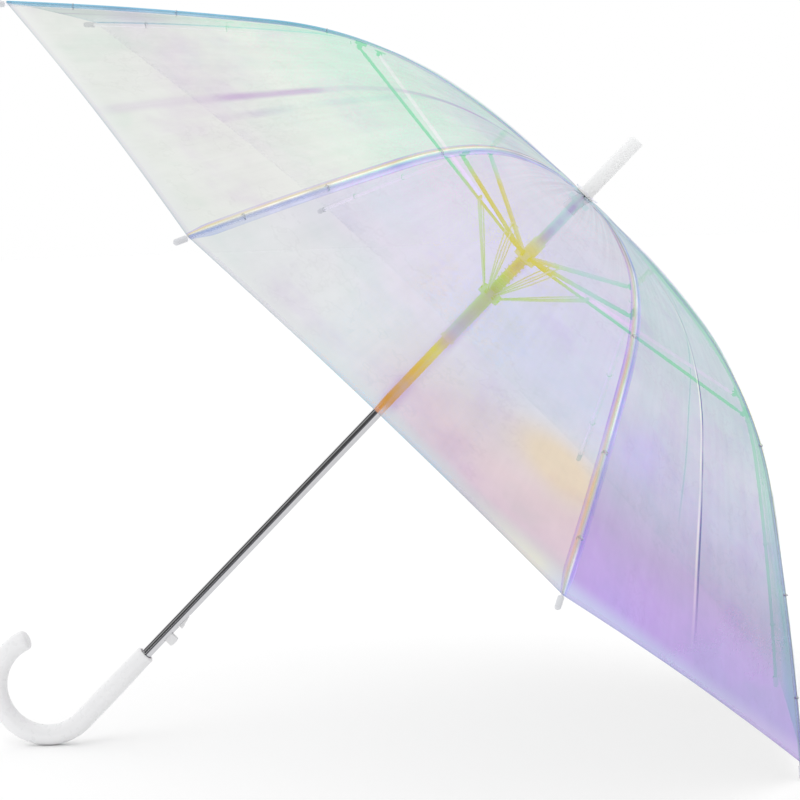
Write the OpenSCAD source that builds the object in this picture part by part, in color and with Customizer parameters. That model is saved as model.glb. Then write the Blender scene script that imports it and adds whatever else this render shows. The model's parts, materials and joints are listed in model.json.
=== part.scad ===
// Stick umbrella with a clear film canopy, eight ribs and a spring that opens it.
// Origin: middle of the straight hand grip, on the shaft's axis. +Z runs up the shaft to the
// ferrule, the crook opens towards -X and the push button is on +X. Millimetres.
// Each rib and its stretcher are equal arms from one hinge circle, so a joint between the ribs'
// hinges and the stretchers' hinges always stands half way between them, and the upper collar
// stays on the shaft at every angle.

/* [Handle] */
// Length of the straight grip
grip_len = 92; // [80:1:110]
// Diameter of the grip and the crook
grip_d = 20; // [19:0.5:22]
// Diameter of the grip's mouth
mouth_d = 18.5; // [18:0.5:19]
// Radius of the crook's centre line
crook_r = 49; // [40:1:60]
// How far round the crook turns, in degrees
crook_turn = 200; // [180:1:210]

/* [Shaft] */
// Outer diameter of the steel tube
shaft_d = 10.5; // [10:0.1:10.8]
// Wall of the steel tube
shaft_wall = 0.7; // [0.6:0.1:0.8]
// Length of the ferrule above its flange
ferrule_len = 70; // [60:1:80]
// Diameter of the ferrule
ferrule_d = 14.4; // [13.6:0.2:16]

/* [Linkage] */
// Height of the rib hinges above the origin
notch_z = 656; // [650:1:665]
// Rib hinge to stretcher joint, and stretcher joint to collar hinge
arm_len = 255; // [250:1:260]
// How far the arms lean below the horizontal when open, in degrees
arm_drop = 8.5; // [8.3:0.1:8.7]
// Collar hinge to strut joint, along the stretcher
strut_joint_at = 67; // [62:1:72]
// Collar hinge to runner hinge when open
open_gap = 49; // [47:1:51]

/* [Ribs] */
// Slope of the rib where it leaves the notch, in degrees below the horizontal
rib_start_slope = -3.4; // [-4:0.1:-3]
// Lengths of the inner, middle and outer stretches of a rib
rib_run = [175, 166, 246];
// Bend of each stretch, in degrees
rib_bend = [13.3, 25.9, 4];
// Width of the rolled steel channel
channel_w = 3; // [2.8:0.1:3.1]
// Height of the rolled steel channel
channel_h = 2.6; // [2.4:0.1:2.8]
// Wall of the rolled steel channel
channel_wall = 0.5; // [0.4:0.1:0.6]
// Width of the stretchers' channel
arm_w = 4.4; // [3.6:0.2:4.6]
// Height of the stretchers' channel
arm_h = 2.8; // [2.6:0.1:3]

/* [Canopy] */
// Length of film along a rib, from the rib's hinge to the film's corner
film_len = 581; // [575:1:583]
// Thickness of the film
film_t = 0.3; // [0.3:0.1:0.5]
// How far the hem bows in from a straight line between two rib tips
hem_bow = 4; // [0:1:15]

/* [Hidden] */
$fn = 48;

// Fits and small parts
sector = 45;
half_sector = sector / 2;
hinge_r = 9;
run_fit = 0.06;
clear = 0.3;
pin_r = 0.8;
pin_fit = 0.05;
eye_r = 1.7;
shaft_r = shaft_d / 2;
shaft_low = -18;
shaft_top = 700;
bore_r = shaft_r + run_fit;

// Handle and button
grip_top = grip_len / 2;
mouth_round = 1.2;
mouth_step_depth = 3;
crook_end_h = 5;
crook_seam = 0.02;
button_z = grip_top + 28;
button_h = 9.4;
button_w = 6;
button_reach = 13.2;
button_root = 3.1;
catch_pivot = [2.4, grip_top + 9];
catch_w = 3.8;
catch_t = 0.8;
catch_step_z = grip_top + 43;
catch_top_z = grip_top + 56.5;
catch_reach = 8.5;

// Heights of the three hinge circles and the places of the arms' joints
arm_joint = [hinge_r + arm_len * cos(arm_drop), notch_z - arm_len * sin(arm_drop)];
collar_z = 2 * arm_joint[1] - notch_z;
runner_z = collar_z - open_gap;
strut_joint = [hinge_r + strut_joint_at * cos(arm_drop), collar_z + strut_joint_at * sin(arm_drop)];
strut_run = strut_joint - [hinge_r, runner_z];
strut_len = norm(strut_run);
strut_rise = atan2(strut_run[1], strut_run[0]);

// Hubs
hub_r = 11.6;
notch_low = notch_z - 6;
notch_top = notch_z + 3.6;
collar_low = collar_z - 4.6;
collar_flange_top = collar_z + 4;
collar_top = collar_z + 20;
collar_neck_r = 6.8;
runner_flange_low = runner_z - 5;
runner_flange_top = runner_z + 4;
sleeve_low = runner_z - 61;
sleeve_r = 6.8;
sleeve_bead_r = 7.7;
sleeve_bead_h = 3;
catch_slot_w = 5;
catch_slot_top = sleeve_low + 26;
flange_top = notch_top + 2.4;
ferrule_flange_r = 9.6;

// Spring
spring_r = 6.35;
spring_wire_r = 0.6;
spring_turns = 8;
spring_steps = 16;
spring_sides = 8;
spring_low = runner_flange_top + spring_wire_r + 0.1;
spring_high = collar_low - spring_wire_r - 0.1;

// Ribs, stretchers, struts
rib_neck = 9;
neck_w = 1.8;
neck_h = 2.2;
neck_lap = 3;
arm_neck = 8;
arm_neck_w = 2.4;
arm_neck_h = 2;
cap_r = 2.7;
cap_socket_r = 2.1;
cap_len = 12;
cap_start = film_len + 1;
clip_half = 5.5;
clip_t = 0.6;
clip_gap = 3.2;
clip_side_up = 0.8;
strut_wire_r = 0.7;
strut_spread = arm_w / 2 + 0.4 + strut_wire_r;
strut_root = 0.8;
strut_fork = 38;

// Film
film_up = channel_h / 2 + clear + channel_w / 2 * tan(half_sector) * sin(rib_slope(3));
film_rows = 24;
film_cols = 6;
film_inner_r = 6;
film_hub_r = 12.4;
film_joins_rib = 48;
film_gap = 0.15;

// ---- The rib's path: three arcs, each starting where the last one ends, with the same slope.

// Slope at the start of stretch k, in degrees below the horizontal
function rib_slope(k) = k == 0 ? rib_start_slope : rib_slope(k - 1) + rib_bend[k - 1];

// Radius of stretch k
function rib_rho(k) = rib_run[k] / rib_bend[k] * 180 / PI;

// Distance along the rib to the start of stretch k
function rib_start(k) = k == 0 ? 0 : rib_start(k - 1) + rib_run[k - 1];

// Outward direction at a slope, square to the rib
function rib_normal(a) = [sin(a), cos(a)];

// Centre of stretch k's arc, as [distance from the shaft, height]
function rib_centre(k) = rib_joint(k) - rib_rho(k) * rib_normal(rib_slope(k));

// Start of stretch k
function rib_joint(k) = k == 0
    ? [hinge_r, notch_z]
    : rib_centre(k - 1) + rib_rho(k - 1) * rib_normal(rib_slope(k));

// The stretch that holds distance s, and the slope there
function rib_part(s) = s < rib_start(1) ? 0 : s < rib_start(2) ? 1 : 2;
function slope_at(s) =
    let (k = rib_part(s)) rib_slope(k) + (s - rib_start(k)) / rib_run[k] * rib_bend[k];

// Point at distance s along the rib and height up above its middle
function rib_point(s, up = 0) =
    let (k = rib_part(s)) rib_centre(k) + (rib_rho(k) + up) * rib_normal(slope_at(s));

// Distance along the rib that comes nearest to a point, by halving steps
function nearest_s(p, s = 290, step = 64) = step < 0.01
    ? s
    : let (
        here = norm(rib_point(s) - p),
        less = norm(rib_point(s - step) - p),
        more = norm(rib_point(s + step) - p)
    )
    less < here ? nearest_s(p, s - step, step) : more < here ? nearest_s(p, s + step, step)
        : nearest_s(p, s, step / 2);

// ---- The film: straight between neighbouring ribs at every height, so a level cut is an octagon.

// Share of the rib's distance from the shaft at b degrees from the rib
function chord_share(b) = cos(half_sector) / cos(half_sector - abs(b));

// Film profile in the rib's plane at share t of the way from the shaft to the hem
function film_profile(t, s_end, up) =
    let (s = t * s_end, over_hub = [film_hub_r, notch_top + clear + up])
    s < film_joins_rib
        ? let (
            joins = rib_point(film_joins_rib, film_up + up),
            w = s / film_joins_rib,
            inner = [film_inner_r, over_hub[1]]
        )
        w < 0.25 ? inner + (over_hub - inner) * w / 0.25
            : over_hub + (joins - over_hub) * (w - 0.25) / 0.75
        : rib_point(s, film_up + up);

// Length of film along the line at share b of the way from the rib to the middle of the gore
function hem_s(b) = film_len - hem_bow * (1 - pow(1 - abs(b), 2));

function film_point(i, j, up) =
    let (
        share = 2 * j / film_cols - 1,
        p = film_profile(i / film_rows, hem_s(share), up),
        edge = half_sector - asin(film_gap / p[0]),
        b = share * edge,
        r = p[0] * chord_share(b)
    )
    [r * cos(b), r * sin(b), p[1]];

// ---- Placing

module at_rib(i) {
    rotate([0, 0, half_sector + sector * (i - 1)]) children();
}

module at_every_rib() {
    for (i = [1:8]) at_rib(i) children();
}

// Turns a shape drawn along +X so that it runs from a point at a slope above the horizontal
module along(p, rise) {
    translate([p[0], 0, p[1]]) rotate([0, -rise, 0]) children();
}

// A cylinder across the rib's plane, centred on it
module cross_pin(r, w) {
    rotate([90, 0, 0]) cylinder(r = r, h = w, center = true);
}

// Sweeps a profile along the rib from s0 to s1, which lie in stretch k. The profile's X is outward.
module rib_sweep(k, s0, s1) {
    c = rib_centre(k);
    a0 = rib_slope(k) + (s0 - rib_start(k)) / rib_run[k] * rib_bend[k];
    a1 = rib_slope(k) + (s1 - rib_start(k)) / rib_run[k] * rib_bend[k];
    translate([c[0], 0, c[1]])
        rotate([0, a1 - 90, 0])
            rotate([90, 0, 0])
                rotate_extrude(angle = a1 - a0, $fn = 360)
                    translate([rib_rho(k), 0]) children();
}

// Rolled channel, open towards -X
module channel_profile(w, h) {
    difference() {
        square([h, w], center = true);
        translate([-channel_wall, 0]) square([h, w - 2 * channel_wall], center = true);
    }
}

// ---- Handle, shaft and button

module handle() {
    color("white") {
        difference() {
            rotate_extrude($fn = 96)
                polygon([[0, -grip_top], [grip_d / 2, -grip_top], [grip_d / 2, 0],
                    [mouth_d / 2, grip_top - mouth_round], [mouth_d / 2 - mouth_round, grip_top],
                    [0, grip_top]]);
            translate([0, 0, shaft_low - 2]) cylinder(r = bore_r, h = grip_len);
            translate([0, 0, grip_top - mouth_step_depth]) cylinder(r = shaft_r + 1.4, h = grip_len);
        }
        translate([-crook_r, 0, -grip_top - crook_seam]) {
            rotate([90, 0, 0]) rotate([0, 0, -crook_turn]) rotate_extrude(angle = crook_turn)
                translate([crook_r, 0]) circle(d = grip_d);
            rotate([0, crook_turn, 0]) translate([crook_r, 0, 0]) rotate([180, 0, 0]) crook_end();
        }
    }
}

// End of the crook, rounded in steps that follow a quarter of a circle
module crook_end() {
    r = grip_d / 2;
    steps = 4;
    for (k = [0:steps - 1]) {
        low = 80 * k / steps;
        high = 80 * (k + 1) / steps;
        translate([0, 0, crook_end_h * sin(low)])
            cylinder(r1 = r - crook_end_h * (1 - cos(low)), r2 = r - crook_end_h * (1 - cos(high)),
                h = crook_end_h * (sin(high) - sin(low)));
    }
}

module shaft() {
    window_clear = 0.4;
    color("silver") difference() {
        translate([0, 0, shaft_low]) cylinder(r = shaft_r, h = shaft_top - shaft_low, $fn = 96);
        translate([0, 0, shaft_low - 1])
            cylinder(r = shaft_r - shaft_wall, h = shaft_top - shaft_low + 2, $fn = 96);
        translate([0, -button_w / 2 - window_clear, button_z - button_h / 2 - window_clear])
            cube([shaft_d, button_w + 2 * window_clear, button_h + 2 * window_clear]);
        translate([0, -catch_w / 2 - window_clear, catch_step_z - 2])
            cube([shaft_d, catch_w + 2 * window_clear, catch_top_z - catch_step_z + 4]);
    }
}

// Block that slides inward through the shaft's window, with a finger face rounded towards its ends
module push_button() {
    dome_r = 9;
    color("white") intersection() {
        translate([button_root, -button_w / 2, button_z - button_h / 2])
            cube([button_reach - button_root, button_w, button_h]);
        translate([button_reach - dome_r, 0, button_z]) cross_pin(dome_r, button_w + 2);
    }
}

// Leaf lever inside the shaft: its foot rolls on a round bead and its nose holds the runner
module catch() {
    bead_r = 1.4;
    color("gainsboro") translate([catch_pivot[0], 0, 0]) {
        translate([0, 0, catch_pivot[1]]) cross_pin(bead_r, catch_w - 0.6);
        translate([-catch_t / 2, -catch_w / 2, catch_pivot[1]])
            cube([catch_t, catch_w, catch_top_z - catch_pivot[1]]);
        rotate([90, 0, 0]) linear_extrude(catch_w, center = true)
            polygon([[0, catch_step_z], [catch_reach - catch_pivot[0], catch_step_z],
                [catch_reach - catch_pivot[0], catch_step_z + 1.5],
                [shaft_r - catch_pivot[0], catch_top_z], [0, catch_top_z]]);
    }
}

module ferrule() {
    low = notch_top + 2 * clear + film_t;
    tip_round = 1.6;
    color("white") difference() {
        rotate_extrude($fn = 96) {
            translate([0, low]) square([ferrule_flange_r, flange_top - low]);
            translate([0, flange_top]) square([ferrule_d / 2, ferrule_len - tip_round]);
            translate([0, flange_top]) square([ferrule_d / 2 - tip_round, ferrule_len]);
            translate([ferrule_d / 2 - tip_round, flange_top + ferrule_len - tip_round])
                circle(r = tip_round);
        }
        cylinder(r = shaft_r + pin_fit, h = shaft_top + 1);
    }
}

// ---- Hubs

// Slots for eight eyes round a hinge circle at height z, from z_low to z_high, and the pin holes
module hinge_slots(z, z_low, z_high, slot_w) {
    slot_depth = 2.1;
    at_every_rib() {
        translate([hinge_r - slot_depth, -slot_w / 2, z_low]) cube([hub_r, slot_w, z_high - z_low]);
        translate([hinge_r, 0, z]) cross_pin(pin_r + pin_fit, pin_span(slot_w) + 0.2);
    }
}

// A pin runs 1.4 mm into the wall on each side of its slot
function pin_span(slot_w) = slot_w + 2.8;

module hinge_pins(z, slot_w) {
    color("dimgray") at_every_rib() translate([hinge_r, 0, z]) cross_pin(pin_r, pin_span(slot_w));
}

notch_slot_w = neck_w + 0.6;
collar_slot_w = arm_neck_w + 0.6;
runner_slot_w = 2 * (strut_root + strut_wire_r) + 0.7;

module notch() {
    color("whitesmoke") difference() {
        translate([0, 0, notch_low]) cylinder(r = hub_r, h = notch_top - notch_low, $fn = 96);
        translate([0, 0, notch_low - 1]) cylinder(r = shaft_r + pin_fit, h = notch_top - notch_low + 2);
        hinge_slots(notch_z, notch_low - 1, notch_z + 2.2, notch_slot_w);
    }
}

module notch_pins() {
    hinge_pins(notch_z, notch_slot_w);
}

module upper_collar() {
    color("whitesmoke") difference() {
        union() {
            translate([0, 0, collar_low]) cylinder(r = hub_r, h = collar_flange_top - collar_low, $fn = 96);
            translate([0, 0, collar_low]) cylinder(r = collar_neck_r, h = collar_top - collar_low);
        }
        translate([0, 0, collar_low - 1]) cylinder(r = bore_r, h = collar_top - collar_low + 2);
        hinge_slots(collar_z, collar_z - 2.2, collar_flange_top + 1, collar_slot_w);
    }
}

module collar_pins() {
    hinge_pins(collar_z, collar_slot_w);
}

module runner() {
    color("whitesmoke") difference() {
        union() {
            translate([0, 0, runner_flange_low])
                cylinder(r = hub_r, h = runner_flange_top - runner_flange_low, $fn = 96);
            translate([0, 0, sleeve_low]) cylinder(r = sleeve_r, h = runner_flange_top - sleeve_low);
            translate([0, 0, sleeve_low]) cylinder(r = sleeve_bead_r, h = sleeve_bead_h);
        }
        translate([0, 0, sleeve_low - 1]) cylinder(r = bore_r, h = runner_flange_top - sleeve_low + 2);
        hinge_slots(runner_z, runner_z - 2.2, runner_flange_top + 1, runner_slot_w);
        translate([0, -catch_slot_w / 2, sleeve_low - 1])
            cube([hub_r, catch_slot_w, catch_slot_top - sleeve_low + 1]);
    }
}

module runner_pins() {
    hinge_pins(runner_z, runner_slot_w);
}

// ---- Spring: an eight-sided wire swept round a helix

function spring_ring(k, n) =
    let (
        t = k / n,
        a = 360 * spring_turns * t,
        z = spring_low + (spring_high - spring_low) * t
    )
    [for (j = [0:spring_sides - 1])
        let (
            c = 360 * j / spring_sides,
            r = spring_r + spring_wire_r * cos(c)
        )
        [r * cos(a), r * sin(a), z + spring_wire_r * sin(c)]];

module main_spring() {
    n = spring_turns * spring_steps;
    points = [for (k = [0:n]) each spring_ring(k, n)];
    function id(k, j) = k * spring_sides + (j + spring_sides) % spring_sides;
    sides = [for (k = [0:n - 1]) for (j = [0:spring_sides - 1]) each
        [[id(k, j), id(k, j + 1), id(k + 1, j)], [id(k + 1, j), id(k, j + 1), id(k + 1, j + 1)]]];
    start = [for (j = [spring_sides - 1:-1:0]) id(0, j)];
    end = [for (j = [0:spring_sides - 1]) id(n, j)];
    color("silver") polyhedron(points, concat([start], sides, [end]), convexity = 20);
}

// ---- Ribs

module rib() {
    color("silver") {
        difference() {
            union() {
                along([hinge_r, notch_z], -rib_start_slope) cross_pin(eye_r, neck_w);
                rib_sweep(0, 0, rib_neck + neck_lap) square([neck_h, neck_w], center = true);
            }
            translate([hinge_r, 0, notch_z]) cross_pin(pin_r + pin_fit, neck_w + 1);
        }
        rib_sweep(0, rib_neck, rib_start(1)) channel_profile(channel_w, channel_h);
        rib_sweep(1, rib_start(1), rib_start(2)) channel_profile(channel_w, channel_h);
        rib_sweep(2, rib_start(2), rib_start(2) + rib_run[2]) channel_profile(channel_w, channel_h);
    }
}

// Pressed clip under the rib: a web across the channel's open side, and two ears that hold the rivet
module rib_clip() {
    s = nearest_s(arm_joint);
    base = rib_point(s);
    slope = slope_at(s);
    down = norm(base - arm_joint);
    ear_r = 2;
    grip = 2.6;
    web_z = -channel_h / 2 - 0.25;
    head_r = 1.5;
    head_t = 0.5;
    color("silver") along(base, -slope) {
        translate([-grip, -clip_gap / 2 - clip_t, web_z - clip_t])
            cube([2 * grip, clip_gap + 2 * clip_t, clip_t]);
        for (side = [-1, 1]) difference() {
            translate([0, side * (clip_gap + clip_t) / 2, 0]) union() {
                translate([-clip_half, -clip_t / 2, web_z - clip_t])
                    cube([2 * clip_half, clip_t, clip_side_up - web_z + clip_t]);
                translate([-ear_r, -clip_t / 2, -down]) cube([2 * ear_r, clip_t, down + web_z]);
                translate([0, 0, -down]) cross_pin(ear_r, clip_t);
            }
            translate([0, 0, -down]) cross_pin(pin_r + pin_fit, 2 * clip_gap);
        }
    }
    color("dimgray") along(base, -slope) translate([0, 0, -down]) {
        cross_pin(pin_r, clip_gap + 2 * clip_t + 2 * pin_fit + head_t);
        for (side = [-1, 1])
            translate([0, side * (clip_gap / 2 + clip_t + pin_fit + head_t / 2), 0])
                cross_pin(head_r, head_t);
    }
}

// Plastic cap with a socket for the rib's end and a ball nose
module tip_cap() {
    end = rib_start(2) + rib_run[2];
    p = rib_point(cap_start);
    color("white") along(p, -slope_at(cap_start)) rotate([0, 90, 0]) difference() {
        union() {
            cylinder(r = cap_r, h = cap_len - cap_r);
            translate([0, 0, cap_len - cap_r]) sphere(r = cap_r);
        }
        translate([0, 0, -1]) cylinder(r = cap_socket_r, h = end - cap_start + 1.5);
    }
}

// ---- Stretchers and struts

module stretcher() {
    strut_rivet_w = arm_w + 0.5;
    color("silver") along([hinge_r, collar_z], arm_drop) {
        difference() {
            union() {
                for (x = [0, arm_len]) translate([x, 0, 0]) cross_pin(eye_r, arm_neck_w);
                for (x = [0, arm_len - arm_neck]) translate([x, -arm_neck_w / 2, -arm_neck_h / 2])
                    cube([arm_neck, arm_neck_w, arm_neck_h]);
            }
            for (x = [0, arm_len]) translate([x, 0, 0]) cross_pin(pin_r + pin_fit, arm_neck_w + 1);
        }
        translate([arm_neck - 0.5, 0, 0]) rotate([0, 90, 0])
            linear_extrude(arm_len - 2 * arm_neck + 1) mirror([1, 0, 0]) channel_profile(arm_w, arm_h);
        translate([strut_joint_at, 0, 0]) cross_pin(1, strut_rivet_w);
    }
}

// Bent wire: two legs that part, then run on each side of the stretcher to an eye
module strut() {
    bend = strut_len - strut_fork;
    leg = norm([bend, strut_spread - strut_root]);
    turn = atan2(strut_spread - strut_root, bend);
    eye_w = 2 * (strut_root + strut_wire_r);
    color("silver") along([hinge_r, runner_z], strut_rise) {
        difference() {
            union() {
                cross_pin(eye_r - 0.1, eye_w);
                for (side = [-1, 1]) translate([0, side * strut_root, 0]) rotate([0, 0, side * turn])
                    rotate([0, 90, 0]) cylinder(r = strut_wire_r, h = leg + 0.2, $fn = 24);
            }
            cross_pin(pin_r + pin_fit, eye_w + 1);
        }
        for (side = [-1, 1]) {
            translate([bend - 0.2, side * strut_spread, 0]) rotate([0, 90, 0])
                cylinder(r = strut_wire_r, h = strut_fork + 0.2, $fn = 24);
            translate([strut_len, side * strut_spread, 0]) cross_pin(eye_r - 0.1, 2 * strut_wire_r);
        }
    }
}

// ---- Canopy

// One eighth of the film, centred on its rib
module canopy() {
    across = film_cols + 1;
    layer = (film_rows + 1) * across;
    points = [for (up = [0, film_t]) for (i = [0:film_rows]) for (j = [0:film_cols])
        film_point(i, j, up)];
    function id(i, j, top) = top * layer + i * across + j;
    function quad(a, b, c, d) = [[a, b, c], [a, c, d]];
    skins = [for (i = [0:film_rows - 1]) for (j = [0:film_cols - 1]) each concat(
        quad(id(i, j, 0), id(i + 1, j, 0), id(i + 1, j + 1, 0), id(i, j + 1, 0)),
        quad(id(i, j, 1), id(i, j + 1, 1), id(i + 1, j + 1, 1), id(i + 1, j, 1)))];
    sides = [for (i = [0:film_rows - 1]) each concat(
        quad(id(i, 0, 0), id(i, 0, 1), id(i + 1, 0, 1), id(i + 1, 0, 0)),
        quad(id(i + 1, film_cols, 0), id(i + 1, film_cols, 1), id(i, film_cols, 1), id(i, film_cols, 0)))];
    ends = [for (j = [0:film_cols - 1]) each concat(
        quad(id(0, j + 1, 0), id(0, j + 1, 1), id(0, j, 1), id(0, j, 0)),
        quad(id(film_rows, j, 0), id(film_rows, j, 1), id(film_rows, j + 1, 1), id(film_rows, j + 1, 0)))];
    color("lavender", 0.5) polyhedron(points, concat(skins, sides, ends), convexity = 6);
}

handle();
shaft();
push_button();
catch();
ferrule();
notch();
notch_pins();
upper_collar();
collar_pins();
runner();
runner_pins();
main_spring();
for (i = [1:8]) {
    at_rib(i) rib();
    at_rib(i) rib_clip();
    at_rib(i) tip_cap();
    at_rib(i) stretcher();
    at_rib(i) strut();
    at_rib(i) canopy();
}
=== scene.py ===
"""Looks of the clear film stick umbrella: pearly film with seams and hems, white plastic, steel."""

import json
import math

import bpy
from mathutils import Matrix, Vector, noise

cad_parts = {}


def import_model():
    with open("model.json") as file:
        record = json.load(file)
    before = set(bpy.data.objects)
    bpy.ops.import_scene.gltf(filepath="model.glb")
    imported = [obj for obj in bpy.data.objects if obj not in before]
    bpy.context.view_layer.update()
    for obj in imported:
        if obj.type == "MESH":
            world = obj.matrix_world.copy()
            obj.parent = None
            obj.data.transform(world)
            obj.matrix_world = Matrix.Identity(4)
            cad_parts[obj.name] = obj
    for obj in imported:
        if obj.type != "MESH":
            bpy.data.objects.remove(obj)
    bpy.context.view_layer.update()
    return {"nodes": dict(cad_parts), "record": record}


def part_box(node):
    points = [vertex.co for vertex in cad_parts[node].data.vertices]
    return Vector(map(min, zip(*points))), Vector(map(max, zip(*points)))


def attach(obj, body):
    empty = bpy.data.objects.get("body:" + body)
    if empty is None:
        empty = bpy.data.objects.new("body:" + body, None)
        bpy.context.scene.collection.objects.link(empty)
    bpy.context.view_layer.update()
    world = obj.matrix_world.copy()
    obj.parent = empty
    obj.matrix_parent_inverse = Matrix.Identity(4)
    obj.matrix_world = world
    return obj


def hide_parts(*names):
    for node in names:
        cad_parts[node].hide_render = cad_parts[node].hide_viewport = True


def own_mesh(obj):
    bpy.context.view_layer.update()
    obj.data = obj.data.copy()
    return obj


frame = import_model()

RIBS = range(1, 9)
SECTOR = 45.0
HALF = SECTOR / 2
MM = 0.001

# The rib's path, as the CAD source draws it: three arcs from the hinge, with lengths and bends
RUN = (0.175, 0.166, 0.246)
BEND = (13.3, 25.9, 4.0)
START_SLOPE = -3.4
# Film above the rib's middle, its length along a rib, and how far the hem bows in between two ribs
FILM_UP = 2.15 * MM
FILM_LEN = 0.581
HEM_BOW = 0.004
# The film lies flat on the hub from INNER_R to HUB_R, and meets the rib's curve at JOINS along it
HUB_R = 0.0124
HUB_Z = 0.66005
INNER_R = 0.006
JOINS = 0.048
FLAT_SHARE = 0.25
# Half the gap between two sectors of film, in radians
EDGE_GAP = 0.00003


def rib_angle(i):
    return math.radians(HALF + SECTOR * (i - 1))


def joint(name):
    """A joint of the CAD's record."""
    return next(j for j in frame["record"]["behaviour"]["joints"] if j["name"] == name)


HINGE = joint("fold")["pos_m"]
HINGE_R = math.hypot(HINGE[0], HINGE[1])
HINGE_Z = HINGE[2]


def rib_point(s, up=0.0):
    """Distance from the shaft, height and slope at distance s along a rib, up above its middle."""
    slope, x, z = math.radians(START_SLOPE), HINGE_R, HINGE_Z
    for k, (run, bend) in enumerate(zip(RUN, BEND)):
        rho = run / math.radians(bend)
        part = s if k == 2 else min(s, run)
        end = slope + part / rho
        x += rho * (math.sin(end) - math.sin(slope))
        z += rho * (math.cos(end) - math.cos(slope))
        slope = end
        s -= part
        if s <= 0:
            break
    return x + up * math.sin(slope), z + up * math.cos(slope), slope


def film_profile(s, up=0.0):
    """Distance from the shaft and height of the film over a rib, at distance s from the shaft."""
    if s >= JOINS:
        return rib_point(s, FILM_UP + up)[:2]
    x1, z1, _ = rib_point(JOINS, FILM_UP + up)
    w = s / JOINS
    if w < FLAT_SHARE:
        return INNER_R + (HUB_R - INNER_R) * w / FLAT_SHARE, HUB_Z + up
    w = (w - FLAT_SHARE) / (1 - FLAT_SHARE)
    w = w * w * (3 - 2 * w) * 0.4 + w * 0.6
    return HUB_R + (x1 - HUB_R) * w, HUB_Z + up + (z1 - HUB_Z - up) * w


def hem_at(share):
    """Film length at share of the way from a rib to the middle of the gore."""
    return FILM_LEN - HEM_BOW * (1 - (1 - abs(share)) ** 2)


def slack(az, s, share):
    """How far the film stands off its straight shape: gathers at the hub, slack between the ribs."""
    free = 1 - (1 - abs(share)) ** 2
    p = Vector((math.cos(az) * s * 9, math.sin(az) * s * 9, 4.0))
    soft = noise.noise(p) * 1.9 * MM * free * min(1, s / 0.2) * min(1, (FILM_LEN - s) / 0.1)
    streak = noise.noise(Vector((az * 16, s * 2.5, 1.0))) * 0.9 * MM * free * math.exp(-s / 0.22)
    gather = math.sin(az * 32 + 3 * math.sin(az * 3)) * 0.5 * MM * math.exp(-((s - 0.035) / 0.03) ** 2)
    return soft + streak + gather


def film_point(i, s, share, up=0.0):
    """Point of the film in the sector of rib i. Share runs from -1 to 1 across it."""
    edge = math.radians(HALF) - EDGE_GAP
    b = share * edge
    az = rib_angle(i) + b
    r, z = film_profile(s, up + slack(az, s, share))
    r *= math.cos(math.radians(HALF)) / math.cos(math.radians(HALF) - abs(b))
    return r * math.cos(az), r * math.sin(az), z


def mesh_object(name, points, faces, uvs=None):
    """A smooth object from points and faces, with a UV for each point."""
    mesh = bpy.data.meshes.new(name)
    mesh.from_pydata([tuple(p) for p in points], [], faces)
    if uvs:
        layer = mesh.uv_layers.new(name="UVMap")
        for loop in mesh.loops:
            layer.data[loop.index].uv = uvs[loop.vertex_index]
    for poly in mesh.polygons:
        poly.use_smooth = True
    mesh.update()
    o = bpy.data.objects.new(name, mesh)
    bpy.context.collection.objects.link(o)
    return o


def grid_faces(rows, cols):
    """Quads of a grid of points, row by row."""
    faces = []
    for i in range(rows - 1):
        for j in range(cols - 1):
            a = i * cols + j
            faces.append((a, a + 1, a + cols + 1, a + cols))
    return faces


def tube(name, path, radius, sides):
    """A round bar along a path of points, with flat ends."""
    points, faces = [], []
    path = [Vector(p) for p in path]
    side = None
    for k, p in enumerate(path):
        ahead = path[min(k + 1, len(path) - 1)] - path[max(k - 1, 0)]
        ahead.normalize()
        if side is None:
            side = ahead.orthogonal().normalized()
        side = (side - ahead * side.dot(ahead)).normalized()
        over = ahead.cross(side)
        for j in range(sides):
            a = 2 * math.pi * j / sides
            points.append(p + side * radius * math.cos(a) + over * radius * math.sin(a))
    n = len(path)
    for k in range(n - 1):
        for j in range(sides):
            a, b = k * sides + j, k * sides + (j + 1) % sides
            faces.append((a, b, b + sides, a + sides))
    faces.append(tuple(range(sides - 1, -1, -1)))
    faces.append(tuple(range((n - 1) * sides, n * sides)))
    return mesh_object(name, points, faces)


# ---- Materials


def lin(r, g, b):
    """A colour given as 0 to 255 in sRGB, as linear light."""

    def one(c):
        c /= 255
        return c / 12.92 if c <= 0.04045 else ((c + 0.055) / 1.055) ** 2.4

    return (one(r), one(g), one(b), 1)


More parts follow.
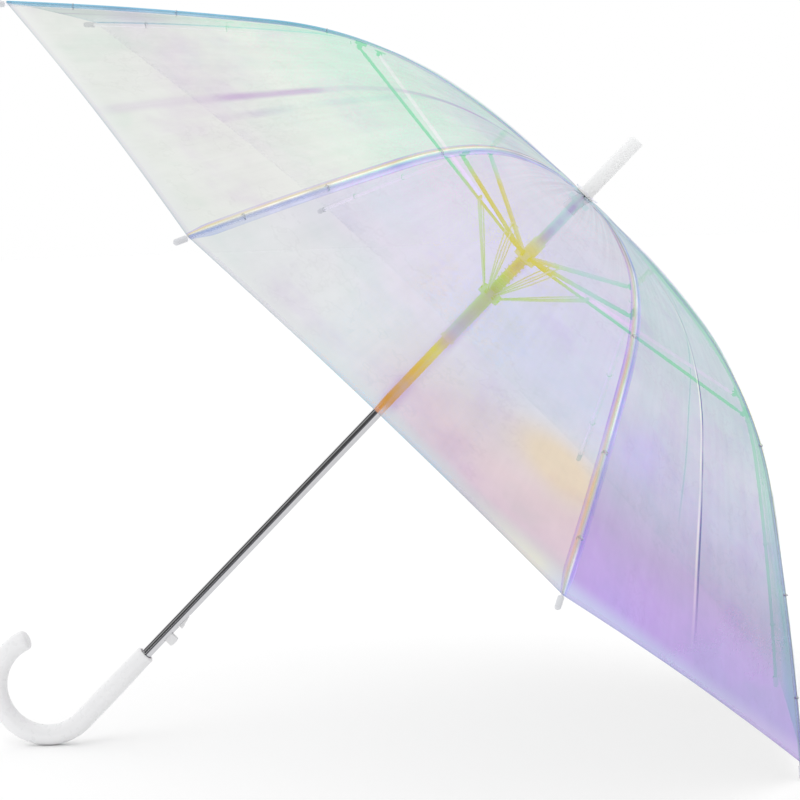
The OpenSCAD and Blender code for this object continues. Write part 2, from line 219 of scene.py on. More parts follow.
class Nodes:
    """Short names for making shader nodes."""

    def __init__(self, tree):
        self.tree = tree
        self.tree.nodes.clear()

    def node(self, kind, **values):
        made = self.tree.nodes.new(kind)
        for key, value in values.items():
            setattr(made, key, value)
        return made

    def link(self, a, b):
        self.tree.links.new(a, b)

    def put(self, socket, value):
        if isinstance(value, bpy.types.NodeSocket):
            self.link(value, socket)
        else:
            socket.default_value = value

    def math(self, op, a, b=0.0):
        made = self.node("ShaderNodeMath", operation=op)
        self.put(made.inputs[0], a)
        self.put(made.inputs[1], b)
        return made.outputs[0]

    def times(self, first, *others):
        for other in others:
            first = self.math("MULTIPLY", first, other)
        return first

    def rest_of(self, share):
        return self.math("SUBTRACT", 1.0, share)

    def mix(self, fac, a, b, kind="MIX"):
        made = self.node("ShaderNodeMix", data_type="RGBA", blend_type=kind)
        self.put(made.inputs[0], fac)
        self.put(made.inputs[6], a)
        self.put(made.inputs[7], b)
        return made.outputs[2]

    def tinted(self, fac, colour, tint):
        """The colour, multiplied by a tint where fac is 1."""
        return self.mix(fac, colour, self.mix(1.0, colour, tint, "MULTIPLY"))

    def ramp(self, fac, stops):
        made = self.node("ShaderNodeValToRGB")
        items = made.color_ramp.elements
        while len(items) < len(stops):
            items.new(0.5)
        for item, (at, colour) in zip(items, stops):
            item.position = at
            item.color = colour if hasattr(colour, "__len__") else (colour, colour, colour, 1)
        self.link(fac, made.inputs[0])
        return made.outputs[0]

    def spread(self, value, low, high, to_low=0.0, to_high=1.0):
        made = self.node("ShaderNodeMapRange", interpolation_type="SMOOTHSTEP")
        self.put(made.inputs[0], value)
        for k, x in zip(range(1, 5), (low, high, to_low, to_high)):
            made.inputs[k].default_value = x
        return made.outputs[0]

    def even(self, value, low, high):
        """0 at low, 1 at high, in a straight line between them."""
        share = self.spread(value, low, high)
        share.node.interpolation_type = "LINEAR"
        return share

    def coords(self, kind="Object"):
        return self.node("ShaderNodeTexCoord").outputs[kind]

    def axes(self, vector):
        made = self.node("ShaderNodeSeparateXYZ")
        self.link(vector, made.inputs[0])
        return made.outputs

    def noise(self, vector, scale, detail=2.0, rough=0.5, stretch=(1, 1, 1)):
        turn = self.node("ShaderNodeMapping")
        turn.inputs["Scale"].default_value = stretch
        self.link(vector, turn.inputs[0])
        made = self.node("ShaderNodeTexNoise")
        made.inputs["Scale"].default_value = scale
        made.inputs["Detail"].default_value = detail
        made.inputs["Roughness"].default_value = rough
        self.link(turn.outputs[0], made.inputs["Vector"])
        return made.outputs[0]

    def patch(self, vector, centre, size):
        """1 at the centre of a soft ellipsoid, 0 outside it."""
        turn = self.node("ShaderNodeMapping", vector_type="TEXTURE")
        turn.inputs["Location"].default_value = centre
        turn.inputs["Scale"].default_value = size
        self.link(vector, turn.inputs[0])
        made = self.node("ShaderNodeTexGradient", gradient_type="QUADRATIC_SPHERE")
        self.link(turn.outputs[0], made.inputs[0])
        return made.outputs[1]


def material(name):
    """Nodes of a new material that has only its output."""
    mat = bpy.data.materials.new(name)
    mat.use_nodes = True
    n = Nodes(mat.node_tree)
    n.mat = mat
    n.out = n.node("ShaderNodeOutputMaterial")
    return n


def plastic(name, colour, rough, shade=0.93, clear=0.0, glow=0.0, grain=0.04):
    """Smooth plastic or paint: faint cloudiness in colour and gloss, a fine bump, and a painted glow where
    glow is set.
    """
    n = material(name)
    at = n.coords()
    cloud = n.noise(at, 40, 2)
    low = tuple(c * shade for c in colour[:3]) + (1,)
    p = n.node("ShaderNodeBsdfPrincipled")
    n.link(n.mix(cloud, low, colour), p.inputs["Base Color"])
    n.link(n.ramp(n.noise(at, 180, 2), [(0.3, rough * 0.8), (0.7, rough * 1.25)]), p.inputs["Roughness"])
    p.inputs["Transmission Weight"].default_value = clear
    p.inputs["Coat Weight"].default_value = 0.15
    # glow is painted light: a pale pink emission, on parts that are no lamp.
    p.inputs["Emission Color"].default_value = (1, 0.93, 0.98, 1)
    p.inputs["Emission Strength"].default_value = glow
    bump = n.node("ShaderNodeBump")
    bump.inputs["Strength"].default_value = grain
    bump.inputs["Distance"].default_value = 0.0002
    n.link(n.noise(at, 300, 1), bump.inputs["Height"])
    n.link(bump.outputs[0], p.inputs["Normal"])
    n.link(p.outputs[0], n.out.inputs[0])
    return n.mat


def steel(name, light, dark, rough):
    """Drawn steel: fine streaks along the shaft's direction."""
    n = material(name)
    at = n.coords()
    streak = n.noise(at, 300, 3, 0.6, (1, 1, 0.02))
    p = n.node("ShaderNodeBsdfPrincipled")
    n.link(n.mix(streak, dark, light), p.inputs["Base Color"])
    p.inputs["Metallic"].default_value = 1.0
    n.link(n.ramp(n.noise(at, 140, 2), [(0.3, rough * 0.7), (0.7, rough * 1.3)]), p.inputs["Roughness"])
    n.link(p.outputs[0], n.out.inputs[0])
    return n.mat


def shaft_steel():
    """Chromed tube with a painted dark reflection line and painted shade on its +X side. Inside the canopy
    it is rougher and painted dark, as shade under the film.
    """
    n = material("shaft_chrome")
    at = n.coords()
    z = n.axes(at)[2]
    inside = n.spread(z, 0.376, 0.392)
    streak = n.noise(at, 260, 3, 0.6, (1, 1, 0.01))
    bright = n.mix(streak, (0.86, 0.86, 0.88, 1), (0.97, 0.97, 0.98, 1))
    round_x = n.axes(n.node("ShaderNodeNewGeometry").outputs["Normal"])[0]
    # Painted shade: the +X side, turned away from the lamp, is greyer and darkest at its edge.
    painted_shade_side = n.mix(n.spread(round_x, 0.85, 0.97), (0.66, 0.66, 0.68, 1), (0.48, 0.48, 0.51, 1))
    # Painted reflection: a dark line down the tube, standing in for a mirror image of the dark room.
    bright = n.mix(n.spread(round_x, -0.14, -0.06), bright, (0.10, 0.10, 0.11, 1))
    bright = n.mix(n.spread(round_x, 0.16, 0.26), bright, painted_shade_side)
    # Painted shade: darker chrome inside the canopy.
    painted_shade_inside = n.mix(streak, (0.16, 0.16, 0.17, 1), (0.30, 0.30, 0.31, 1))
    p = n.node("ShaderNodeBsdfPrincipled")
    n.link(n.mix(inside, bright, painted_shade_inside), p.inputs["Base Color"])
    p.inputs["Metallic"].default_value = 1.0
    polish = n.ramp(n.noise(at, 120, 2), [(0.3, 0.05), (0.7, 0.09)])
    n.link(n.mix(inside, polish, (0.4, 0.4, 0.4, 1)), p.inputs["Roughness"])
    n.link(p.outputs[0], n.out.inputs[0])
    return n.mat


# Share of the light that the far side of the canopy passes
FAR_SIDE = (0.95, 0.955, 0.96)
STUDIO = 1.06
BACKDROP = 1.0


def over(r, g, b):
    """Film colour that shows as this sRGB colour with the far side of the canopy and white behind it."""
    seen = lin(r, g, b)
    return tuple(min(0.97, seen[k] / FAR_SIDE[k] / BACKDROP) for k in range(3)) + (1,)


def side_of(n, at, rib):
    """0 before the plane of a rib, 1 past it, going round the shaft from +X towards +Y."""
    x, y, _ = n.axes(at)
    a = rib_angle(rib)
    past = n.math("SUBTRACT", n.times(y, math.cos(a)), n.times(x, math.sin(a)))
    return n.spread(past, -0.004, 0.004)


def near_side(n, at, warp):
    """Pastel bands and patches of the three gores towards -Y."""
    x, _, z = n.axes(at)
    wander = n.times(n.math("SUBTRACT", warp, 0.5), 0.05)
    share = n.even(n.math("ADD", z, wander), 0.44, 0.66)
    left = n.ramp(
        share,
        [
            (0.0, over(226, 230, 226)),
            (0.3, over(226, 227, 225)),
            (0.55, over(230, 236, 229)),
            (0.8, over(215, 235, 224)),
            (1.0, over(214, 222, 222)),
        ],
    )
    pale = n.ramp(
        share,
        [
            (0.0, over(220, 223, 225)),
            (0.2, over(221, 223, 226)),
            (0.36, over(222, 220, 230)),
            (0.6, over(221, 218, 234)),
            (1.0, over(218, 216, 228)),
        ],
    )
    middle = n.ramp(
        share,
        [
            (0.03, over(203, 202, 208)),
            (0.08, over(213, 196, 208)),
            (0.16, over(217, 201, 207)),
            (0.26, over(213, 207, 211)),
            (0.36, over(211, 214, 225)),
            (0.46, over(209, 212, 233)),
            (0.7, over(212, 211, 232)),
            (1.0, over(213, 212, 222)),
        ],
    )
    right = n.ramp(
        share,
        [
            (0.0, over(187, 167, 224)),
            (0.12, over(189, 170, 221)),
            (0.22, over(185, 173, 210)),
            (0.32, over(190, 186, 213)),
            (0.44, over(198, 198, 222)),
            (0.62, over(207, 210, 224)),
            (0.8, over(198, 209, 217)),
            (1.0, over(205, 214, 222)),
        ],
    )
    middle = n.mix(n.spread(x, -0.07, 0.05), pale, middle)
    see = n.mix(side_of(n, at, 7), n.mix(side_of(n, at, 6), left, middle), right)
    peach = n.spread(n.patch(at, (0.135, -0.42, 0.500), (0.095, 0.3, 0.034)), 0.0, 0.6)
    peach = n.times(peach, n.rest_of(side_of(n, at, 7)))
    see = n.mix(peach, see, over(222, 209, 190))
    for centre, size, colour in (
        ((-0.17, -0.12, 0.60), (0.15, 0.2, 0.07), over(208, 234, 218)),
        ((-0.10, -0.20, 0.585), (0.09, 0.2, 0.06), over(229, 216, 230)),
        ((0.25, -0.42, 0.44), (0.09, 0.2, 0.05), over(190, 168, 230)),
        ((0.18, -0.33, 0.545), (0.05, 0.2, 0.04), over(199, 195, 230)),
        ((0.42, -0.06, 0.49), (0.11, 0.2, 0.13), over(172, 194, 196)),
        ((-0.40, -0.14, 0.50), (0.10, 0.14, 0.03), over(226, 219, 229)),
    ):
        soft = n.spread(n.patch(at, centre, size), 0.0, 0.7)
        see = n.mix(soft, see, colour)
    return see


def crinkles(n, at):
    """Faint cloudiness, thin creases, and streaks that run out from the hub. About 1 on average."""
    uv = n.coords("UV")
    streak = n.spread(n.noise(uv, 1.0, 3, 0.6, (26, 2.4, 1)), 0.3, 0.7, -1.0, 1.0)
    gathered = n.spread(n.axes(uv)[1], 0.06, 0.5, 0.075, 0.012)
    cloud = n.noise(at, 26, 4, 0.65)
    lines = n.math("ABSOLUTE", n.math("SUBTRACT", n.noise(at, 7, 5, 0.7, (1, 1, 1.3)), 0.5))
    thin = n.spread(lines, 0.0, 0.012, 0.97, 1.0)
    soft = n.math("ADD", n.times(streak, gathered), n.spread(cloud, 0.3, 0.7, 0.98, 1.018))
    return n.times(soft, thin)


def film_colours(n, at):
    """Two fields over the canopy: what the film shows over white, and the colour that it reflects."""
    x, y, z = n.axes(at)
    warp = n.noise(at, 3.2, 2, 0.5)
    fine = n.noise(at, 9.0, 4, 0.6, (1, 1, 1.6))

    near = near_side(n, at, warp)
    pale = FAR_SIDE + (1,)
    far = n.mix(n.spread(warp, 0.4, 0.6, 0.0, 0.8), pale, lin(250, 245, 251))
    far = n.mix(n.spread(fine, 0.45, 0.7, 0.0, 0.8), far, lin(244, 251, 249))
    see = n.mix(n.spread(y, -0.02, 0.16), near, far)
    see = n.tinted(n.spread(fine, 0.5, 0.72, 0.0, 0.6), see, lin(247, 236, 252))
    see = n.tinted(n.spread(fine, 0.5, 0.3, 0.0, 0.6), see, lin(242, 252, 247))
    see = n.mix(1.0, see, crinkles(n, at), "MULTIPLY")

    up = n.math("ADD", z, n.times(n.math("SUBTRACT", warp, 0.5), 0.03))
    share = n.even(up, 0.43, 0.66)
    back = n.ramp(
        share,
        [
            (0.0, lin(238, 132, 60)),
            (0.17, lin(240, 160, 50)),
            (0.31, lin(228, 206, 84)),
            (0.40, lin(182, 220, 192)),
            (0.5, lin(176, 208, 110)),
            (0.62, lin(178, 212, 96)),
            (0.76, lin(176, 226, 208)),
            (1.0, lin(192, 224, 222)),
        ],
    )
    side = n.spread(n.math("ABSOLUTE", x), 0.055, 0.10)
    low = n.mix(n.spread(x, 0.0, 0.2), lin(128, 130, 134), lin(132, 176, 176))
    mint = n.mix(n.spread(z, 0.51, 0.56), low, lin(150, 224, 182))
    back = n.mix(side, back, mint)
    for centre, size in (
        ((0.0, -0.24, 0.592), (0.085, 0.3, 0.04)),
        ((-0.05, -0.26, 0.614), (0.07, 0.3, 0.03)),
    ):
        gold = n.spread(n.patch(at, centre, size), 0.0, 0.5)
        back = n.mix(gold, back, lin(214, 204, 78))
    back = n.mix(n.spread(fine, 0.5, 0.75, 0.0, 0.3), back, lin(166, 196, 224))
    return see, back


def striped(n, at, stripes):
    """The two colours of doubled film, with stripes across it that are patchy and fade on the far side."""
    across = n.axes(n.coords("UV"))[0]
    patchy = n.spread(n.noise(at, 12, 2), 0.35, 0.65, 0.6, 1.0)
    patchy = n.times(patchy, n.spread(n.axes(at)[1], 0.0, 0.12, 1.0, 0.1))
    see = n.mix(patchy, lin(254, 254, 254), n.ramp(across, stripes))
    back = n.mix(patchy, lin(40, 44, 56), lin(70, 76, 104))
    return see, back


def shiny(n, at, see, shine):
    """Teal tint on a seam towards -X, and a painted highlight along its ridges on the near side."""
    x, y, _ = n.axes(at)
    see = n.mix(n.spread(x, -0.20, -0.30), see, lin(176, 218, 234))
    near = n.spread(y, -0.05, 0.1, 1.0, 0.0)
    broken = n.spread(n.noise(at, 16, 2), 0.4, 0.6, 0.2, 1.0)
    # Painted highlight: extra light added to the seam's reflection, on the near side only.
    lit = n.mix(n.times(near, broken), (0, 0, 0, 1), n.ramp(n.axes(n.coords("UV"))[0], shine))
    return see, lit


def creased(n, at, see):
    """Broken fold lines down the middle of the gores, a painted highlight band beside one, and a fringe at
    the hem.

    Towards -X the fold is soft and purple. Towards +X it is a thin line of painted shade, and fades near
    the hem.
    """
    x, y, z = n.axes(at)
    u, v, _ = n.axes(n.coords("UV"))
    away = n.math("ABSOLUTE", n.math("SUBTRACT", u, 0.5))
    right = n.spread(x, 0.0, 0.15)
    low = n.times(right, n.spread(z, 0.45, 0.52, 1.0, 0.0))
    broken = n.times(n.spread(n.noise(at, 11, 2), 0.4, 0.6, 0.3, 1.0), n.rest_of(low))
    soft = n.times(n.spread(away, 0.466, 0.496), n.rest_of(right))
    see = n.tinted(n.times(soft, broken), see, lin(232, 212, 242))
    # Painted shade: a thin dark line down the fold towards +X.
    line = n.times(n.spread(away, 0.494, 0.497), right)
    see = n.tinted(n.times(line, broken), see, lin(160, 166, 200))
    # Painted highlight: a band beside the fold towards +X on the near side, added to the film's
    # reflection.
    band = n.times(n.spread(u, 0.978, 0.986), n.spread(u, 0.990, 0.994, 1.0, 0.0))
    band = n.times(band, right, n.spread(y, -0.1, 0.1, 1.0, 0.0))
    lit = n.mix(n.times(band, broken), (0, 0, 0, 1), (0.26, 0.24, 0.12, 1))
    fringe = n.times(n.spread(v, 0.958, 0.99), n.spread(y, -0.1, 0.0, 0.75, 0.0))
    see = n.mix(fringe, see, n.ramp(n.math("ADD", x, 0.5), HEM_TONES))
    return see, lit


def film_shader(n, at, see, back, lit):
    """A mirror of one colour added to what passes. Shadows and soft light get plain clear film instead."""
    clear = n.node("ShaderNodeBsdfTransparent")
    n.link(n.mix(1.0, see, back, "SUBTRACT"), clear.inputs[0])
    gloss = n.node("ShaderNodeBsdfGlossy")
    gloss.inputs["Roughness"].default_value = 0.0
    # lit is a painted highlight, added on top of the reflected colour.
    n.link(back if lit is None else n.mix(1.0, back, lit, "ADD"), gloss.inputs[0])
    bump = n.node("ShaderNodeBump")
    bump.inputs["Strength"].default_value = 0.12
    bump.inputs["Distance"].default_value = 0.002
    n.link(n.noise(at, 40, 3, 0.6), bump.inputs["Height"])
    n.link(bump.outputs[0], gloss.inputs["Normal"])
    both = n.node("ShaderNodeAddShader")
    n.link(clear.outputs[0], both.inputs[0])
    n.link(gloss.outputs[0], both.inputs[1])
    plain = n.node("ShaderNodeBsdfTransparent")
    plain.inputs[0].default_value = (0.78, 0.78, 0.78, 1)
    path = n.node("ShaderNodeLightPath")
    unseen = n.math("MAXIMUM", path.outputs["Is Shadow Ray"], path.outputs["Is Diffuse Ray"])
    choose = n.node("ShaderNodeMixShader")
    n.link(unseen, choose.inputs[0])
    n.link(both.outputs[0], choose.inputs[1])
    n.link(plain.outputs[0], choose.inputs[2])
    n.link(choose.outputs[0], n.out.inputs[0])


def film(name, stripes=None, shine=None):
    """Clear dichroic film: it reflects one colour and passes the rest, so over white it stays pale."""
    n = material(name)
    at = n.coords()
    x = n.axes(at)[0]
    lit = None
    if stripes:
        see, back = striped(n, at, stripes)
    else:
        see, back = film_colours(n, at)
        see, lit = creased(n, at, see)
    if shine:
        see, lit = shiny(n, at, see, shine)
    facing = n.node("ShaderNodeLayerWeight")
    facing.inputs[0].default_value = 0.35
    rim = n.times(n.spread(facing.outputs[1], 0.6, 0.97), n.spread(x, -0.3, -0.05, 0.2, 0.35))
    tint = n.mix(n.spread(x, -0.25, -0.02), lin(170, 230, 240), lin(216, 228, 236))
    see = n.tinted(rim, see, tint)
    film_shader(n, at, see, n.mix(1.0, back, see, "DARKEN"), lit)
    return n.mat


# Colours across a seam, from side to side, and the painted highlight on its ridges
SEAM_STRIPES = [
    (0.0, lin(222, 214, 246)),
    (0.14, lin(240, 232, 252)),
    (0.24, lin(252, 232, 200)),
    (0.36, lin(253, 246, 212)),
    (0.48, lin(252, 252, 252)),
    (0.62, lin(196, 212, 252)),
    (0.78, lin(230, 234, 252)),
    (1.0, lin(222, 228, 248)),
]
SEAM_SHINE = [
    (0.0, 0.0),
    (0.34, (0.02, 0.02, 0.0, 1)),
    (0.44, (0.34, 0.34, 0.26, 1)),
    (0.56, (0.05, 0.05, 0.08, 1)),
    (0.78, (0.02, 0.02, 0.05, 1)),
    (0.92, (0.14, 0.12, 0.16, 1)),
    (1.0, 0.0),
]
# From the hem's inner edge to the film's edge
HEM_STRIPES = [
    (0.0, lin(252, 250, 252)),
    (0.55, lin(248, 246, 250)),
    (0.86, lin(232, 236, 240)),
    (1.0, lin(224, 230, 236)),
]
# Hue of the last stretch before the hem, by x + 0.5 m
HEM_TONES = [
    (0.1, lin(238, 240, 238)),
    (0.4, lin(224, 227, 228)),
    (0.6, lin(208, 210, 214)),
    (0.67, lin(230, 232, 216)),
    (0.70, lin(204, 214, 238)),
    (0.8, lin(196, 202, 234)),
    (0.92, lin(206, 190, 230)),
]
# Round the scrap of film at the ferrule
ROSE_STRIPES = [
    (0.0, lin(250, 250, 252)),
    (0.3, lin(236, 240, 248)),
    (0.6, lin(252, 250, 252)),
    (1.0, lin(240, 238, 250)),
]


# ---- Film pieces


def gather(o, i):
    """Gives the film piece a mesh of its own."""
    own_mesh(o)


def film_sector(i, mat):
    """One eighth of the canopy, from the middle of one gore to the middle of the next."""
    rows, cols = 84, 41
    points, uvs = [], []
    for r in range(rows):
        t = r / (rows - 1)
        t = t * (0.7 + 0.3 * t)
        for c in range(cols):
            share = 2 * c / (cols - 1) - 1
            share = share * (1.25 - 0.25 * share * share)
            s = t * hem_at(share)
            points.append(film_point(i, s, share))
            uvs.append((0.5 + share / 2, s / FILM_LEN))
    o = mesh_object(f"film_gore_{i}", points, grid_faces(rows, cols), uvs)
    o.data.materials.append(mat)
    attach(o, f"rib_{i}")
    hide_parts(f"canopy_{i}")
    return o


def film_seam(i, mat):
    """Welded seam over the rib, standing a little off it in a shallow arch."""
    rows, cols = 90, 9
    half_width = 6.5 * MM
    start, end = 0.03, FILM_LEN - 0.8 * MM
    points, uvs = [], []
    a = rib_angle(i)
    out, side = Vector((math.cos(a), math.sin(a), 0)), Vector((-math.sin(a), math.cos(a), 0))
    for r in range(rows):
        s = start + (end - start) * r / (rows - 1)
        x, z = film_profile(s)
        _, _, slope = rib_point(s)
        narrow = min(1.0, 0.25 + s / 0.16) * min(1.0, 0.45 + (FILM_LEN - s) / 0.04)
        drop = math.tan(math.radians(HALF)) * math.sin(slope)
        for c in range(cols):
            u = 2 * c / (cols - 1) - 1
            w = u * half_width * narrow
            arch = 0.25 * MM + 0.75 * MM * (1 - u * u) - abs(w) * drop
            up = out * math.sin(slope) + Vector((0, 0, math.cos(slope)))
            points.append(out * x + Vector((0, 0, z)) + side * w + up * arch)
            uvs.append((0.5 + u / 2, s / FILM_LEN))
    o = mesh_object(f"film_seam_{i}", points, grid_faces(rows, cols), uvs)
    o.data.materials.append(mat)
    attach(o, f"rib_{i}")
    return o


def film_hem(i, mat):
    """Turned edge of the film."""
    rows, cols = 4, 41
    depth = 4.8 * MM
    points, uvs = [], []
    for r in range(rows):
        v = r / (rows - 1)
        for c in range(cols):
            share = 2 * c / (cols - 1) - 1
            s = hem_at(share) - depth * (1 - v)
            points.append(film_point(i, s, share, 0.5 * MM * (1 - v * v)))
            uvs.append((v, 0.5 + share / 2))
    o = mesh_object(f"film_hem_{i}", points, grid_faces(rows, cols), uvs)
    o.data.materials.append(mat)
    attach(o, f"rib_{i}")
    return o


def film_ties(i, mat):
    """Clear loops that hold the film to the rib."""
    made = []
    for k, s in enumerate((0.292, 0.43, 0.522)):
        x, z, slope = rib_point(s)
        a = rib_angle(i)
        out, side = Vector((math.cos(a), math.sin(a), 0)), Vector((-math.sin(a), math.cos(a), 0))
        up = out * math.sin(slope) + Vector((0, 0, math.cos(slope)))
        ahead = out * math.cos(slope) - Vector((0, 0, math.sin(slope)))
        centre = out * x + Vector((0, 0, z)) + up * 0.6 * MM
        path = []
        for q in range(25):
            w = 2 * math.pi * q / 24
            ring = side * 2.4 * math.cos(w) + up * 2.5 * math.sin(w) + ahead * 0.5 * math.sin(w * 2)
            path.append(centre + ring * MM)
        tie = tube(f"film_tie_{i}_{'abc'[k]}", path, 0.55 * MM, 8)
        tie.data.materials.append(mat)
        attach(tie, f"rib_{i}")
        made.append(tie)
    return made


def film_rose(mat):
    """Gathered scrap of film that stands round the foot of the ferrule."""
    rows, cols = 9, 97
    points, uvs = [], []
    for r in range(rows):
        v = r / (rows - 1)
        for c in range(cols):
            a = 2 * math.pi * c / (cols - 1)
            wave = math.sin(a * 7 + 1.3 * math.sin(a * 2)) * (0.3 + 1.3 * v) * MM
            rad = 9.75 * MM + (3.4 + 0.9 * math.sin(a * 3 + 1)) * MM * v
            z = HUB_Z + 1.3 * MM + 1.6 * MM * v * (1 - 0.3 * v) + abs(wave) * v
            points.append((rad * math.cos(a), rad * math.sin(a), z))
            uvs.append((c / (cols - 1), v))
    o = mesh_object("film_rose", points, grid_faces(rows, cols), uvs)
    o.data.materials.append(mat)
    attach(o, "root")
    return o


def canopy():
    """All of the film: a sheet for each rib with its seam, hem and ties, and the scrap at the ferrule."""
    mat = film("film_gore")
    seam_mat = film("film_seam", stripes=SEAM_STRIPES, shine=SEAM_SHINE)
    hem_mat = film("film_hem", stripes=HEM_STRIPES)
    tie_mat = plastic("tie_clear", (0.8, 0.83, 0.86, 1), 0.2, clear=0.6)
    for i in RIBS:
        sector = film_sector(i, mat)
        seam = film_seam(i, seam_mat)
        hem = film_hem(i, hem_mat)
        gather(sector, i)
        gather(hem, i)
        ties = film_ties(i, tie_mat)
        width = 2 * film_profile(hem_at(1))[0] * math.sin(math.radians(HALF))
    rose = film_rose(film("film_rose", stripes=ROSE_STRIPES))


# ---- Spring


def spring(mat):
    """Coil spring between the runner and the upper collar."""
    low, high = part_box("main_spring")
    turns, steps, coil_r, wire = 8, 40, 6.35 * MM, 0.6 * MM
    z0, z1 = low[2] + wire, high[2] - wire
    path = []
    for k in range(turns * steps + 1):
        t = k / (turns * steps)
        a = 2 * math.pi * turns * t
        path.append((coil_r * math.cos(a), coil_r * math.sin(a), z0 + (z1 - z0) * t))
    o = tube("spring_coil", path, wire, 10)
    o.data.materials.append(mat)
    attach(o, "runner")
    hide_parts("main_spring")
    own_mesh(o)


# ---- Finishes of the CAD nodes


def finish_nodes():
    """Ribs and the arms that catch the light are pale, with a painted glow; ribs 1 and 8 are a darker copy
    with painted shade. The hubs and the other arms are dark.
    """
    white = plastic("white_plastic", (0.83, 0.83, 0.84, 1), 0.3, shade=0.99, grain=0.01)
    bright = plastic("ferrule_plastic", (0.92, 0.925, 0.93, 1), 0.3, shade=0.99, grain=0.01)
    hub = plastic("hub_plastic", (0.36, 0.37, 0.38, 1), 0.3, shade=0.85)
    pale = plastic("button_plastic", (0.86, 0.86, 0.87, 1), 0.35, clear=0.15, grain=0.01)
    cap = plastic("cap_plastic", (0.66, 0.67, 0.70, 1), 0.3, grain=0.01)
    # Painted glow: the ribs emit a little light so that they look lit.
    rib = plastic("rib_painted_glow", (0.88, 0.89, 0.93, 1), 0.35, glow=0.2)
    # Darker copy of the rib for ribs 1 and 8: painted shade, with a little painted glow.
    edge_rib = plastic("edge_rib_painted_shade_glow", (0.42, 0.44, 0.47, 1), 0.35, glow=0.06)
    arm = steel("arm_steel", (0.24, 0.25, 0.25, 1), (0.11, 0.12, 0.12, 1), 0.3)
    # Lit copy of the arm: painted highlight and painted glow, brighter than the backdrop.
    lit_arm = plastic("arm_painted_glow", (0.93, 0.92, 0.94, 1), 0.3, glow=0.5)
    wire = steel("wire_steel", (0.6, 0.6, 0.58, 1), (0.42, 0.42, 0.40, 1), 0.3)
    pin = steel("pin_steel", (0.45, 0.45, 0.47, 1), (0.3, 0.3, 0.32, 1), 0.3)
    chrome = shaft_steel()
    named = {
        "handle": white,
        "ferrule": bright,
        "shaft": chrome,
        "push_button": pale,
        "catch": pale,
        "notch": hub,
        "upper_collar": hub,
        "runner": hub,
        "notch_pins": pin,
        "collar_pins": pin,
        "runner_pins": pin,
    }
    for i in RIBS:
        # Ribs 1 and 8 get the painted shade copy.
        named[f"rib_{i}"] = edge_rib if i in (1, 8) else rib
        named[f"rib_clip_{i}"] = arm
        named[f"tip_cap_{i}"] = cap
        # Stretchers 1 and 4 get the lit copy with painted glow; the others are plain dark steel.
        named[f"stretcher_{i}"] = lit_arm if i in (1, 4) else arm
        named[f"strut_{i}"] = wire
    for name, mat in named.items():
        o = frame["nodes"][name]
        o.data.materials.clear()
        o.data.materials.append(mat)


# ---- Floor, light and camera


def floor():
    """White paper that the crook and two rib tips rest on. It shows from above only."""
    normal = Vector((-0.716, 0, 0.698)).normalized()
    crook_centre = Vector((-0.049, 0, -0.046))
    crook_outer_r = 0.0592
    touch = crook_centre - normal * crook_outer_r
    along = Vector((0, 1, 0))
    across = normal.cross(along)
    size = 14
    corners = [
        touch + along * size * a + across * size * b for a, b in ((-1, -1), (1, -1), (1, 1), (-1, 1))
    ]
    o = mesh_object("floor", corners, [(0, 1, 2, 3)])
    if o.data.polygons[0].normal.dot(normal) < 0:
        o.data.flip_normals()
    n = material("floor_paper")
    paper = n.node("ShaderNodeBsdfDiffuse")
    tone = n.mix(n.noise(n.coords(), 2.0), (0.965, 0.965, 0.965, 1), (0.98, 0.98, 0.98, 1))
    n.link(tone, paper.inputs[0])
    clear = n.node("ShaderNodeBsdfTransparent")
    side = n.node("ShaderNodeNewGeometry")
    both = n.node("ShaderNodeMixShader")
    n.link(side.outputs["Backfacing"], both.inputs[0])
    n.link(paper.outputs[0], both.inputs[1])
    n.link(clear.outputs[0], both.inputs[2])
    n.link(both.outputs[0], n.out.inputs[0])
    o.data.materials.append(n.mat)


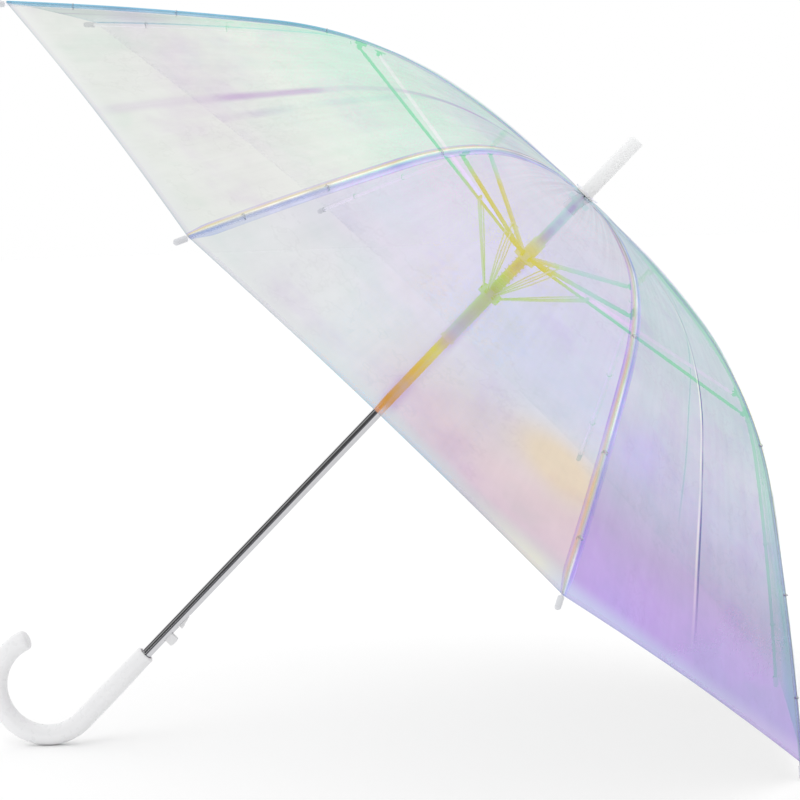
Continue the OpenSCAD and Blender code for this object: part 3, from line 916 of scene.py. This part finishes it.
def world():
    """White studio, lit more from -X. Steel and plastic also mirror a dark room with one strip light.

    The film is a sharp mirror, so its reflections are singular rays and see an even white instead.
    """
    w = bpy.data.worlds.new("studio")
    w.use_nodes = True
    n = Nodes(w.node_tree)
    out = n.node("ShaderNodeOutputWorld")
    x, y, z = n.axes(n.coords("Generated"))
    turn = n.math("ARCTAN2", n.times(x, -1), n.times(y, -1))
    share = n.math("ADD", n.math("DIVIDE", turn, 2 * math.pi), 0.5)
    room = n.ramp(
        share,
        [
            (0.0, 0.9),
            (0.22, 0.8),
            (0.34, 1.0),
            (0.44, 1.0),
            (0.46, 0.07),
            (0.635, 0.05),
            (0.655, 0.3),
            (0.70, 0.3),
            (0.72, 0.05),
            (0.79, 0.06),
            (0.82, 0.9),
            (1.0, 0.9),
        ],
    )
    level = n.spread(n.math("ABSOLUTE", z), 0.45, 0.7)
    room = n.mix(level, room, (1, 1, 1, 1))
    path = n.node("ShaderNodeLightPath")
    room = n.mix(path.outputs["Is Singular Ray"], room, (0.92, 0.92, 0.92, 1))
    soft = n.spread(x, -0.8, 0.8, 1.1, 0.5)
    lit = n.mix(path.outputs["Is Glossy Ray"], soft, room)
    white = BACKDROP / STUDIO
    seen = n.mix(path.outputs["Is Camera Ray"], lit, (white, white, white, 1))
    back = n.node("ShaderNodeBackground")
    n.link(seen, back.inputs[0])
    back.inputs[1].default_value = STUDIO
    n.link(back.outputs[0], out.inputs[0])
    bpy.context.scene.world = w


def lamp():
    """Large soft light from the upper left, left out of reflections."""
    data = bpy.data.lights.new("key", "AREA")
    data.shape = "DISK"
    data.size = 2.4
    data.energy = 9
    o = bpy.data.objects.new("key", data)
    o.visible_glossy = False
    bpy.context.collection.objects.link(o)
    place = Vector((-2.6, -1.6, 1.9))
    o.location = place
    o.rotation_mode = "QUATERNION"
    o.rotation_quaternion = (Vector((0, 0, 0.4)) - place).to_track_quat("-Z", "Y")


def camera():
    """Camera in front of the canopy's -Y side, turned so that the umbrella leans on its crook."""
    data = bpy.data.cameras.new("camera")
    data.lens = 120.2
    data.sensor_width = 36
    data.dof.use_dof = False
    o = bpy.data.objects.new("camera", data)
    bpy.context.collection.objects.link(o)
    right = Vector((0.7229, 0.0826, 0.6860)).normalized()
    ahead = Vector((0.0054, 0.9921, -0.1252)).normalized()
    right = (right - ahead * right.dot(ahead)).normalized()
    up = right.cross(ahead)
    turn = Matrix((right, up, -ahead)).transposed().to_4x4()
    o.matrix_world = Matrix.Translation((-0.006, -2.536, 0.718)) @ turn
    bpy.context.scene.camera = o
    bpy.context.scene.view_settings.view_transform = "Standard"


canopy()
spring(steel("spring_steel", (0.5, 0.5, 0.5, 1), (0.3, 0.3, 0.3, 1), 0.25))
finish_nodes()
floor()
world()
lamp()
camera()
